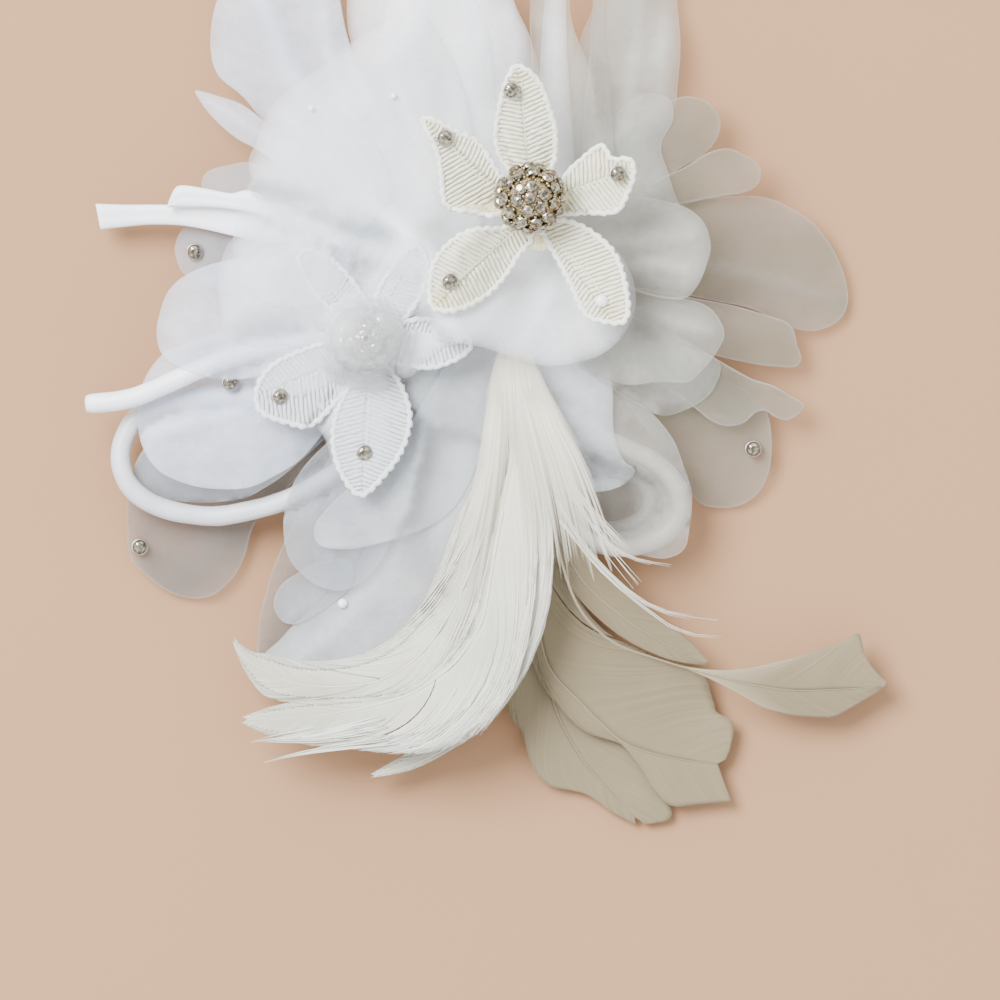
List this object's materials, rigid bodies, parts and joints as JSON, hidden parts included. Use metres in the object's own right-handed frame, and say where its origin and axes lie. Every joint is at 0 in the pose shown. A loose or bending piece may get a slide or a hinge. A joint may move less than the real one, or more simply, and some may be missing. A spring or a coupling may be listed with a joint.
{
  "type": "flower fascinator",
  "caption": "Layered organza flower fascinator with lace blossoms, crystal buttons, satin tubing and feathers, on a felt-backed base with a sprung hair clip.",
  "frame": {"origin": "middle of the flat underside of the hair clip's jaw, which is also the table that the piece lies on", "axes": "+Z out of the flower's face, +Y towards its top petals, +X to the right seen from the front; the clip lies along X"},
  "size_m": [0.1604, 0.1794, 0.04],
  "materials": {
    "organza": "sheer",
    "satin": "satin",
    "lace": "matte",
    "white_feather": "soft",
    "ivory_feather": "soft",
    "felt": "matte",
    "buckram": "matte",
    "crystal": "faceted",
    "setting": "polished",
    "steel": "polished"
  },
  "bodies": {
    "flower": {"clip_plate": "steel", "clip_pin": "steel", "clip_spring": "steel", "felt_backing": "felt", "buckram_base": "buckram", "petal_low_left": "organza", "petal_low_back": "organza", "petal_right_low": "organza", "petal_top_left": "organza", "petal_top_right": "organza", "petal_right_big": "organza", "petal_right_lobe": "organza", "petal_left_stone": "organza", "petal_left_point": "organza", "petal_left_small": "organza", "petal_right_small_upper": "organza", "petal_right_small_lower": "organza", "petal_right_fold": "organza", "petal_low_wide": "organza", "petal_left_inner": "organza", "petal_left_low": "organza", "petal_low_middle": "organza", "petal_left_middle": "organza", "petal_right_veil": "organza", "petal_top_back": "organza", "petal_centre_low": "organza", "petal_centre_low_right": "organza", "petal_crown_top": "organza", "petal_crown_top_right": "organza", "petal_crown_left": "organza", "petal_veil": "organza", "petal_inner_right_low": "organza", "petal_inner_right": "organza", "petal_front_low": "organza", "satin_tail_upper": "satin", "satin_fold": "satin", "satin_loop_left": "satin", "satin_tail_lower": "satin", "satin_loops_right": "satin", "lace_blossom_veiled": "lace", "lace_blossom_front": "lace", "crystal_button_veiled": "setting", "crystal_button_front": "setting", "rhinestone_1": "crystal", "rhinestone_2": "crystal", "rhinestone_3": "crystal", "rhinestone_4": "crystal", "rhinestone_5": "crystal", "rhinestone_6": "crystal", "rhinestone_7": "crystal", "rhinestone_8": "crystal", "feather_ivory_low": "ivory_feather", "feather_ivory_wide": "ivory_feather", "feather_ivory_narrow": "ivory_feather", "feather_stripped": "ivory_feather", "feather_white_fold": "white_feather", "feather_white_left": "white_feather", "feather_white_low": "white_feather", "feather_white_main": "white_feather"},
    "jaw": {"clip_jaw": "steel"}
  },
  "joints": [
    {"name": "clip_hinge", "type": "hinge", "parent": "flower", "child": "jaw", "pos_m": [-0.008, 0, 0.0034], "axis": [0, 1, 0], "range_deg": [0, 18], "stiffness_Nm_per_rad": 0.05, "springref_deg": -28.65, "deforming": ["clip_spring"]}
  ]
}
